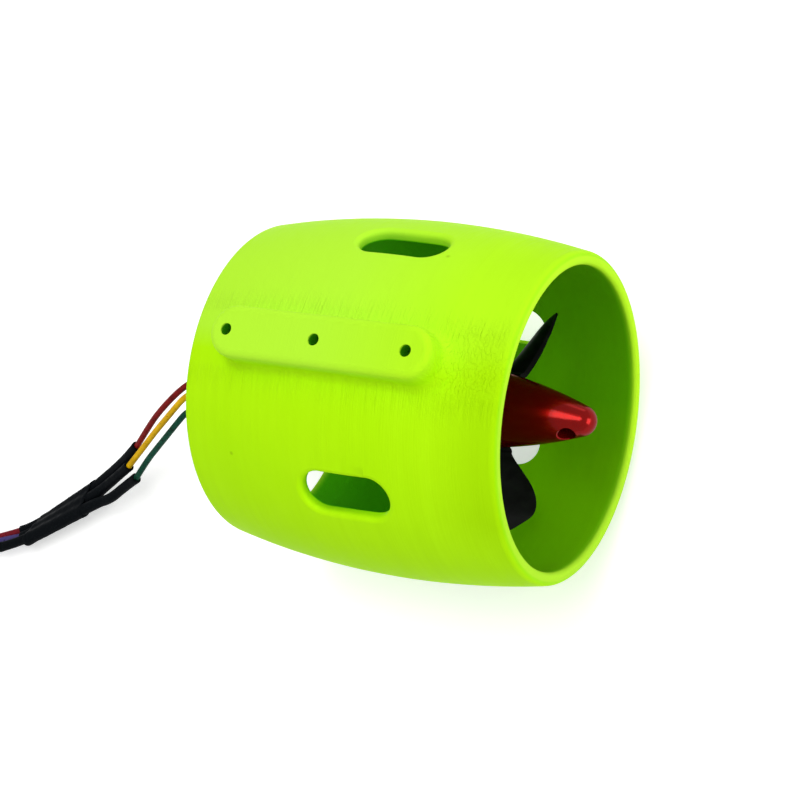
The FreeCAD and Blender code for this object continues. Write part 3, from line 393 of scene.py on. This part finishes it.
def black_plastic():
    """Glass-filled black plastic of the blades, a little greyer where it is worn."""
    made = Shader("black_plastic", (0.003, 0.004, 0.003), 0.4, Specular_IOR_Level=0.03)
    grain = made.noise(2400, 2.0)
    flow = made.noise(1.0, 3.0, made.stretched((90, 320, 320)))
    made.colour(made.mix(made.ramp(flow, 0.4, 0.75), (0.002, 0.0025, 0.002), (0.006, 0.007, 0.006)))
    made.roughness(made.ramp(flow, 0.3, 0.7, 0.34, 0.48))
    made.relief((grain, 0.00001), (flow, 0.00005))
    return made.material


def turned_metal(name, colour, roughness, period=0.00022, depth=0.0000012, dark=0.75, faces=True,
                 streak_depth=0.000012, **inputs):
    """Lathe-turned metal: fine rings along the axis, and round it on the faces.

    The colour is stained down to its dark share."""
    made = Shader(name, colour, roughness, 1.0, **inputs)
    rings = made.waves(made.part("X"), period)
    circles = made.waves(made.from_axis(), period)
    streaks = made.noise(1.0, 2.0, made.stretched((5000, 60, 60)))
    stain = made.noise(120, 3.0)
    stained = tuple(channel * dark for channel in colour)
    made.colour(made.mix(made.ramp(stain, 0.3, 0.75), colour, stained))
    smoother, rougher = roughness * 0.88, roughness * 1.15
    made.roughness(made.ramp(streaks, 0.3, 0.7, smoother, rougher))
    layers = [(rings, depth), (streaks, streak_depth)]
    if faces:
        layers.append((circles, depth))
    made.relief(*layers)
    return made.material


def laminated_steel():
    """Thin sheets stacked along the axis."""
    made = Shader("lamination_steel", (0.23, 0.23, 0.25), 0.42, 1.0)
    sheets = made.waves(made.part("X"), 0.00045)
    rust = made.noise(260, 3.0)
    made.colour(made.mix(made.ramp(rust, 0.5, 0.8), (0.24, 0.24, 0.26), (0.16, 0.12, 0.10)))
    made.relief((sheets, 0.00003), (rust, 0.00002))
    return made.material


def copper_winding():
    """Enamelled wire laid turn by turn out along each tooth."""
    made = Shader("enamelled_copper", (0.55, 0.17, 0.06), 0.28, 0.85)
    turns = made.waves(made.from_axis(), 0.00055)
    varnish = made.noise(380, 2.0)
    made.colour(made.mix(made.ramp(varnish, 0.3, 0.7), (0.62, 0.20, 0.07), (0.36, 0.09, 0.03)))
    made.relief((turns, 0.00008), (varnish, 0.00002))
    return made.material


def insulation(name, colour, worn, roughness, mark=0.62):
    """Wire insulation with smudges and tiny marks from handling.

    The marks are fewer where mark is higher."""
    made = Shader(name, colour, roughness, Specular_IOR_Level=0.05)
    smudge = made.noise(240, 3.0)
    dots = made.noise(1500, 1.0)
    dirt_share = 0.35
    dirt = tuple(channel * dirt_share for channel in worn)
    tint = made.mix(made.ramp(smudge, 0.35, 0.75), colour, worn)
    made.colour(made.mix(made.ramp(dots, mark, mark + 0.08), tint, dirt))
    smoother, rougher = roughness * 0.85, roughness * 1.2
    made.roughness(made.ramp(smudge, 0.3, 0.7, smoother, rougher))
    made.relief((smudge, 0.00006), (dots, 0.00001))
    return made.material


def shrink_tube():
    """Matt black shrink tube, drawn into faint wrinkles over the joints."""
    made = Shader("heat_shrink", (0.004, 0.005, 0.006), 0.55, Specular_IOR_Level=0.02)
    creases = made.noise(420, 3.0)
    dust = made.noise(2600, 1.0)
    made.colour(made.mix(made.ramp(dust, 0.55, 0.8), (0.003, 0.004, 0.005), (0.008, 0.010, 0.012)))
    made.roughness(made.ramp(creases, 0.3, 0.7, 0.42, 0.62))
    made.relief((creases, 0.00016), (dust, 0.00002))
    return made.material


def webbing():
    """Black hook-and-loop strap with a woven rib."""
    made = Shader("strap", (0.02, 0.02, 0.022), 0.85, Sheen_Weight=0.4)
    rib = 0.0004
    weave = made.product(made.waves(made.part("X"), rib), made.waves(made.part("Z"), rib))
    fuzz = made.noise(1800, 3.0)
    made.colour(made.mix(fuzz, (0.012, 0.012, 0.014), (0.035, 0.035, 0.038)))
    made.relief((weave, 0.00006), (fuzz, 0.00006))
    return made.material


MATERIALS = {
    "lime_plastic": lime_plastic(),
    "black_plastic": black_plastic(),
    "red_anodised": turned_metal("red_anodised", (0.23, 0.0028, 0.002), 0.21, period=0.00018,
                                 depth=0.0000001, dark=0.8, streak_depth=0.000001, Metallic=0.75,
                                 Specular_Tint=(0.5, 0.02, 0.02, 1), Coat_Weight=0.14,
                                 Coat_Roughness=0.08),
    "bare_aluminium": turned_metal("bare_aluminium", (0.74, 0.75, 0.77), 0.32),
    "can_steel": turned_metal("can_steel", (0.33, 0.34, 0.36), 0.34, faces=False),
    "screw_steel": turned_metal("screw_steel", (0.42, 0.42, 0.44), 0.32, period=0.0004),
    "bearing_steel": turned_metal("bearing_steel", (0.62, 0.62, 0.64), 0.2),
    "shaft_steel": turned_metal("shaft_steel", (0.66, 0.66, 0.68), 0.18),
    "lamination_steel": laminated_steel(),
    "enamelled_copper": copper_winding(),
    "magnet_nickel": turned_metal("magnet_nickel", (0.66, 0.64, 0.60), 0.21, faces=False),
    "silicone_red": insulation("silicone_red", (0.25, 0.009, 0.009), (0.13, 0.006, 0.006), 0.4),
    "silicone_yellow": insulation("silicone_yellow", (0.82, 0.48, 0.003), (0.61, 0.34, 0.003), 0.4,
                                  mark=0.66),
    "silicone_green": insulation("silicone_green", (0.001, 0.07, 0.038), (0.001, 0.037, 0.019), 0.4,
                                 mark=0.58),
    "heat_shrink": shrink_tube(),
    "extension_red": insulation("extension_red", (0.22, 0.012, 0.022), (0.13, 0.008, 0.014), 0.35),
    "extension_blue": insulation("extension_blue", (0.075, 0.055, 0.20), (0.05, 0.04, 0.12), 0.35),
    "extension_black": insulation("extension_black", (0.012, 0.012, 0.014), (0.02, 0.02, 0.022), 0.35),
    "strap": webbing(),
    "gold_plate": turned_metal("gold_plate", (0.83, 0.58, 0.22), 0.22),
}

NODE_MATERIALS = {
    "duct": "lime_plastic",
    "motor_base": "bare_aluminium",
    "motor_screws": "screw_steel",
    "rear_bearing": "bearing_steel",
    "front_bearing": "bearing_steel",
    "stator_core": "lamination_steel",
    "stator_coils": "enamelled_copper",
    "flux_ring": "can_steel",
    "magnets": "magnet_nickel",
    "end_cap": "bare_aluminium",
    "shaft": "shaft_steel",
    "circlip": "shaft_steel",
    "shim": "shaft_steel",
    "propeller_adapter": "bare_aluminium",
    "adapter_screws": "screw_steel",
    "propeller": "black_plastic",
    "washer": "shaft_steel",
    "spinner_nut": "red_anodised",
    "bullet_red": "gold_plate",
    "bullet_blue": "gold_plate",
    "bullet_black": "gold_plate",
    "bullet_cover_red": "heat_shrink",
    "bullet_cover_blue": "heat_shrink",
    "bullet_cover_black": "heat_shrink",
}
for name, material in NODE_MATERIALS.items():
    nodes[name].data.materials.clear()
    nodes[name].data.materials.append(MATERIALS[material])


# Pieces, curves and sleeves

def place_piece(name, data, material, body="housing"):
    """A piece of the scene's own, which rides with one of the bodies."""
    piece = bpy.data.objects.new(name, data)
    bpy.context.scene.collection.objects.link(piece)
    data.materials.append(MATERIALS[material])
    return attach(piece, body)


def spline_curve(name, points, diameter=0.0, resolution=8):
    """A smooth curve that the points pull on, round in section."""
    curve = bpy.data.curves.new(name, "CURVE")
    curve.dimensions = "3D"
    curve.resolution_u = resolution
    curve.bevel_depth = diameter / 2
    curve.bevel_resolution = 7
    curve.use_fill_caps = True
    spline = curve.splines.new("NURBS")
    spline.points.add(len(points) - 1)
    for target, point in zip(spline.points, points):
        target.co = (*point, 1)
    spline.order_u = 3
    spline.use_endpoint_u = True
    return curve


def followed(points):
    """The places along a route's smooth line."""
    curve = spline_curve("line", points, resolution=24)
    holder = bpy.data.objects.new("line", curve)
    bpy.context.scene.collection.objects.link(holder)
    bpy.context.view_layer.update()
    mesh = bpy.data.meshes.new_from_object(holder)
    line = [vertex.co.copy() for vertex in mesh.vertices]
    bpy.data.objects.remove(holder)
    bpy.data.curves.remove(curve)
    bpy.data.meshes.remove(mesh)
    return line


def distances(line):
    """How far along the line each of its places lies."""
    found = [0.0]
    for before, after in zip(line, line[1:]):
        found.append(found[-1] + (after - before).length)
    return found


def along_line(line, travelled, distance):
    """The place and direction at a distance along a line."""
    i = int(np.searchsorted(travelled, distance, side="right")) - 1
    i = max(0, min(i, len(line) - 2))
    step = travelled[i + 1] - travelled[i]
    share = (distance - travelled[i]) / step if step else 0.0
    return line[i].lerp(line[i + 1], share), (line[i + 1] - line[i]).normalized()


def lofted(name, rings, closed_ends=True):
    """A closed mesh through rings of as many points each."""
    count = len(rings[0])
    vertices = [point for ring in rings for point in ring]
    faces = []
    for i in range(len(rings) - 1):
        for j in range(count):
            k = (j + 1) % count
            faces.append((i * count + j, i * count + k, (i + 1) * count + k, (i + 1) * count + j))
    if closed_ends:
        faces.append(tuple(range(count))[::-1])
        faces.append(tuple((len(rings) - 1) * count + j for j in range(count)))
    mesh = bpy.data.meshes.new(name)
    mesh.from_pydata(vertices, [], faces)
    mesh.polygons.foreach_set("use_smooth", [len(face) == 4 for face in faces])
    mesh.update()
    return mesh


def sleeve_mesh(name, line, profile):
    """A round sleeve whose radius follows pairs of a distance along the line and a radius."""
    sides = 40
    travelled = distances(line)
    normal = None
    rings = []
    for distance, radius in profile:
        centre, forward = along_line(line, travelled, distance)
        if normal is None:
            normal = forward.orthogonal().normalized()
        normal = (normal - forward * normal.dot(forward)).normalized()
        side = forward.cross(normal)
        ring = []
        for j in range(sides):
            angle = 2 * math.pi * j / sides
            ring.append(centre + radius * (normal * math.cos(angle) + side * math.sin(angle)))
        rings.append(ring)
    return lofted(name, rings)


def mirrored(stations, length):
    """The same stations, met from the other end."""
    return [(length - place, size) for place, size in reversed(stations)]


def ripple(share, height, fast, slow, shift):
    """A faint uneven wave along a sleeve."""
    return height * math.sin(share * fast) * math.sin(share * slow + shift)


def shrink_profile(length, radius, inner):
    """From lip to lip: a square cut end, a slight bead, and the swelling over the soldered joint."""
    bore = 0.0012
    lip = 0.00008
    bead = 0.00012
    shoulder = 0.0012
    neck = 0.0022
    swelling = 0.00022
    swelling_middle = 0.42
    swelling_reach = 0.14
    end = [(bore, inner), (0, inner), (0, radius + lip * 0.4), (bead, radius + lip),
           (shoulder, radius + lip * 0.8), (neck, radius)]
    middle = []
    steps = 40
    for i in range(1, steps):
        share = i / steps
        swell = swelling * math.exp(-((share - swelling_middle) / swelling_reach) ** 2)
        wave = ripple(share, height=0.00003, fast=61, slow=23, shift=1)
        middle.append((neck + (length - 2 * neck) * share, radius + swell + wave))
    return end + middle + mirrored(end, length)


# Motor leads and their splices

bundle_along = (BUNDLE_END - BUNDLE_START).normalized()
bundle_level = bundle_along.cross(Vector((0, 0, 1))).normalized()
bundle_down = bundle_along.cross(bundle_level).normalized()


def bundle_row(share):
    """Direction from the middle strand to the red one, which turns towards the floor."""
    tilt = math.radians(BUNDLE_TILT[0] + (BUNDLE_TILT[1] - BUNDLE_TILT[0]) * share)
    down = bundle_down if bundle_down.z < 0 else -bundle_down
    across = bundle_level if bundle_level.y > 0 else -bundle_level
    return across * math.cos(tilt) + down * math.sin(tilt)


for colour, approach in SPLICE_APPROACH.items():
    row = SPLICE_ROW[colour]
    first = BUNDLE_START + bundle_row(0) * row * BUNDLE_SPACING - bundle_along * SPLICE_LEAD_IN
    last = BUNDLE_END + bundle_row(1) * row * BUNDLE_SPACING + bundle_along * SPLICE_PAST_SLEEVE[colour]
    lead_end = LEAD_ROUTES[colour][-1]
    extension_start = EXTENSION_ROUTES[EXTENSION_OF[colour]][0]
    line = followed([lead_end] + approach + [first, last, extension_start])
    profile = shrink_profile(distances(line)[-1], SPLICE / 2, SPLICE_END_BORE)
    name = "splice_cover_" + colour
    piece = place_piece(name, sleeve_mesh(name, line, profile), "heat_shrink")
    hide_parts("splice_" + colour)

for colour, route in LEAD_ROUTES.items():
    curve = spline_curve("motor_lead_" + colour, route, LEAD)
    piece = place_piece("motor_lead_" + colour, curve, "silicone_" + colour)
    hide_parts("lead_" + colour)


# Wide sleeve round the three splices

def bundle_ring(share, wall):
    """One section round the three strands, drawn in a little between them.

    The tube is cut askew, so that the red strand's side lies nearer to the motor."""
    centre = BUNDLE_START.lerp(BUNDLE_END, share)
    across = bundle_row(share)
    up = across.cross(bundle_along).normalized()
    half = BUNDLE_SPACING
    radius = SPLICE / 2 + wall
    straight = 2 * half
    half_way = straight + math.pi * radius
    points = 72
    ring = []
    for i in range(points):
        place = 2 * half_way * i / points
        side = 1 if place < half_way else -1
        place = place % half_way
        if place < straight:
            x = half - place
            dip = BUNDLE_DIP * (1 - math.cos(2 * math.pi * (x + half) / half)) / 2
            offset = (x, radius - dip)
        else:
            angle = math.pi / 2 + (place - straight) / radius
            offset = (-half + radius * math.cos(angle), radius * math.sin(angle))
        askew = bundle_along * (-BUNDLE_SKEW * offset[0] / half)
        ring.append(centre + (across * offset[0] + up * offset[1] + askew) * side)
    return ring


def bundle_mesh():
    """The sleeve from end to end, by shares of its length and walls round the strands."""
    bead = 0.00012
    collar = 0.05
    end = [(0.06, BUNDLE_LINING), (0, BUNDLE_LINING), (0, BUNDLE_WALL), (0.006, BUNDLE_WALL + bead),
           (collar, BUNDLE_WALL + 0.0001)]
    middle = []
    steps = 36
    for i in range(1, steps):
        share = i / steps
        wave = ripple(share, height=0.00004, fast=37, slow=17, shift=2)
        middle.append((collar + (1 - 2 * collar) * share, BUNDLE_WALL + wave))
    stations = end + middle + mirrored(end, 1)
    return lofted("splice_wrap", [bundle_ring(share, wall) for share, wall in stations])


splice_wrap = place_piece("splice_wrap", bundle_mesh(), "heat_shrink")
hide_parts("bundle_sleeve")


# Extension wires, each one length from its splice through the coil to its connector

def coil_points(radius):
    """Points outside a coil of that radius, whose smooth curve runs on it."""
    per_turn = 12
    reach = radius / math.cos(math.pi / per_turn)
    steps = round(COIL_TURNS * per_turn)
    found = []
    for i in range(1, steps):
        turned = COIL_TURNS * i / steps
        angle = math.radians(COIL_ENTRY_ANGLE - 360 * turned)
        found.append(Vector((COIL_CENTRE.x + reach * math.cos(angle),
                             COIL_CENTRE.y + reach * math.sin(angle),
                             COIL_START_Z + COIL_PITCH * turned)))
    return found


for colour, route in EXTENSION_ROUTES.items():
    points = route + coil_points(COIL_RADII[colour]) + TAIL_ROUTES[colour]
    curve = spline_curve("extension_wire_" + colour, points, EXTENSION)
    piece = place_piece("extension_wire_" + colour, curve, "extension_" + colour)
    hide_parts("extension_" + colour, "tail_" + colour, "cable_coil")


# Tie round the coil

TIE_ANGLE = math.radians(20)
TIE_WIDTH = 0.006
TIE_THICKNESS = 0.0005
TIE_CLEARANCE = 0.00005
TIE_BEVEL = 0.00012


def tie_mesh():
    """A strap that closes round the turns where it lies."""
    turned = ((COIL_ENTRY_ANGLE - math.degrees(TIE_ANGLE)) % 360) / 360
    low = COIL_START_Z + COIL_PITCH * turned - EXTENSION / 2
    high = low + 2 * COIL_PITCH + EXTENSION
    near = min(COIL_RADII.values()) - EXTENSION / 2
    far = max(COIL_RADII.values()) + EXTENSION / 2
    middle = Vector(((near + far) / 2, 0, (low + high) / 2))
    half = Vector(((far - near) / 2, 0, (high - low) / 2))
    out = Vector((math.cos(TIE_ANGLE), math.sin(TIE_ANGLE), 0))
    side = Vector((-out.y, out.x, 0))
    corner = EXTENSION / 2
    corner_steps = 8

    def section(grow, shift):
        """A rounded frame about the turns, grown by that much and moved along them."""
        ring = []
        for quarter in range(4):
            cx = (half.x - corner) * (1 if quarter in (0, 3) else -1)
            cz = (half.z - corner) * (1 if quarter in (0, 1) else -1)
            for i in range(corner_steps + 1):
                angle = math.pi / 2 * (quarter + i / corner_steps)
                x = middle.x + cx + (corner + grow) * math.cos(angle)
                z = middle.z + cz + (corner + grow) * math.sin(angle)
                ring.append(COIL_CENTRE + out * x + Vector((0, 0, z)) + side * shift)
        return ring

    edge = TIE_WIDTH / 2
    inner = TIE_CLEARANCE
    outer = inner + TIE_THICKNESS
    rings = [section(inner, -edge), section(outer - TIE_BEVEL, -edge),
             section(outer, -edge + TIE_BEVEL), section(outer, edge - TIE_BEVEL),
             section(outer - TIE_BEVEL, edge), section(inner, edge)]
    return lofted("cable_strap", rings + rings[:1], closed_ends=False)


cable_strap = place_piece("cable_strap", tie_mesh(), "strap")
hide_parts("coil_tie")


# Floor, world and lights

def only_seen(tree):
    """1 for rays from the camera, from glossy surfaces or through clear ones."""
    path = tree.nodes.new("ShaderNodeLightPath")
    total = None
    for key in ("Is Camera Ray", "Is Glossy Ray", "Is Transmission Ray"):
        if total is None:
            total = path.outputs[key]
            continue
        largest = tree.nodes.new("ShaderNodeMath")
        largest.operation = "MAXIMUM"
        tree.links.new(total, largest.inputs[0])
        tree.links.new(path.outputs[key], largest.inputs[1])
        total = largest.outputs[0]
    return total


def make_world(strength):
    """White where it is seen, and at that strength where it lights the object."""
    world = bpy.data.worlds.new("studio")
    world.use_nodes = True
    tree = world.node_tree
    background = tree.nodes["Background"]
    background.inputs["Color"].default_value = (1, 1, 1, 1)
    level = tree.nodes.new("ShaderNodeMapRange")
    level.inputs["To Min"].default_value = strength
    level.inputs["To Max"].default_value = 1.0
    tree.links.new(only_seen(tree), level.inputs["Value"])
    tree.links.new(level.outputs["Result"], background.inputs["Strength"])
    bpy.context.scene.world = world


def make_floor(glow):
    """Pale paper that takes the object's shadow, with a glow where it is seen."""
    size = 4.0
    corners = [(x * size, y * size, FLOOR_Z) for x, y in ((-1, -1), (1, -1), (1, 1), (-1, 1))]
    mesh = bpy.data.meshes.new("floor")
    mesh.from_pydata(corners, [], [(0, 1, 2, 3)])
    floor = bpy.data.objects.new("floor", mesh)
    bpy.context.scene.collection.objects.link(floor)
    material = bpy.data.materials.new("floor")
    material.use_nodes = True
    tree = material.node_tree
    paper = tree.nodes["Principled BSDF"]
    paper.inputs["Base Color"].default_value = (0.86, 0.86, 0.86, 1)
    paper.inputs["Roughness"].default_value = 0.9
    paper.inputs["Specular IOR Level"].default_value = 0.0
    emission = tree.nodes.new("ShaderNodeEmission")
    level = tree.nodes.new("ShaderNodeMapRange")
    level.inputs["To Max"].default_value = glow
    tree.links.new(only_seen(tree), level.inputs["Value"])
    tree.links.new(level.outputs["Result"], emission.inputs["Strength"])
    both = tree.nodes.new("ShaderNodeAddShader")
    tree.links.new(paper.outputs[0], both.inputs[0])
    tree.links.new(emission.outputs[0], both.inputs[1])
    tree.links.new(both.outputs[0], tree.nodes["Material Output"].inputs["Surface"])
    mesh.materials.append(material)


def area_light(name, direction, distance, size, power):
    """A lamp that faces the duct from that direction."""
    lamp = bpy.data.lights.new(name, "AREA")
    lamp.shape = "RECTANGLE"
    lamp.size, lamp.size_y = size
    lamp.energy = power
    holder = bpy.data.objects.new(name, lamp)
    bpy.context.scene.collection.objects.link(holder)
    towards = Vector(direction).normalized()
    holder.location = Vector((0, 0, AXIS_Z)) + towards * distance
    holder.rotation_mode = "QUATERNION"
    holder.rotation_quaternion = towards.to_track_quat("Z", "Y")


make_world(strength=0.45)
make_floor(glow=0.48)
area_light("key_softbox", direction=(0.1, 0.12, 0.99), distance=1.2, size=(0.9, 0.5), power=7.8)
area_light("outlet_fill", direction=(1, 0, 0.1), distance=1.2, size=(0.7, 0.7), power=7.5)
area_light("back_sheen", direction=(-0.1, 1, 0.3), distance=1.0, size=(0.9, 0.3), power=1.2)
area_light("intake_fill", direction=(-0.75, -0.65, 0.1), distance=1.2, size=(0.7, 0.7), power=2.2)


# Camera

def make_camera():
    """A camera that looks at its target and is rolled about that line."""
    azimuth, elevation = CAMERA_AZIMUTH, CAMERA_ELEVATION
    back = Vector((math.sin(azimuth) * math.cos(elevation),
                   -math.cos(azimuth) * math.cos(elevation),
                   math.sin(elevation)))
    level_right = (-back).cross(Vector((0, 0, 1))).normalized()
    level_up = level_right.cross(-back)
    turn, lift = math.cos(CAMERA_ROLL), math.sin(CAMERA_ROLL)
    right = level_right * turn + level_up * lift
    up = level_up * turn - level_right * lift
    data = bpy.data.cameras.new("camera")
    data.sensor_width = CAMERA_SENSOR_WIDTH
    data.lens = CAMERA_LENS
    data.clip_start = 0.01
    data.clip_end = 20.0
    camera = bpy.data.objects.new("camera", data)
    bpy.context.scene.collection.objects.link(camera)
    matrix = Matrix((right, up, back)).transposed().to_4x4()
    matrix.translation = CAMERA_TARGET + back * CAMERA_DISTANCE
    camera.matrix_world = matrix
    bpy.context.scene.camera = camera


make_camera()
bpy.context.scene.view_settings.view_transform = "Standard"
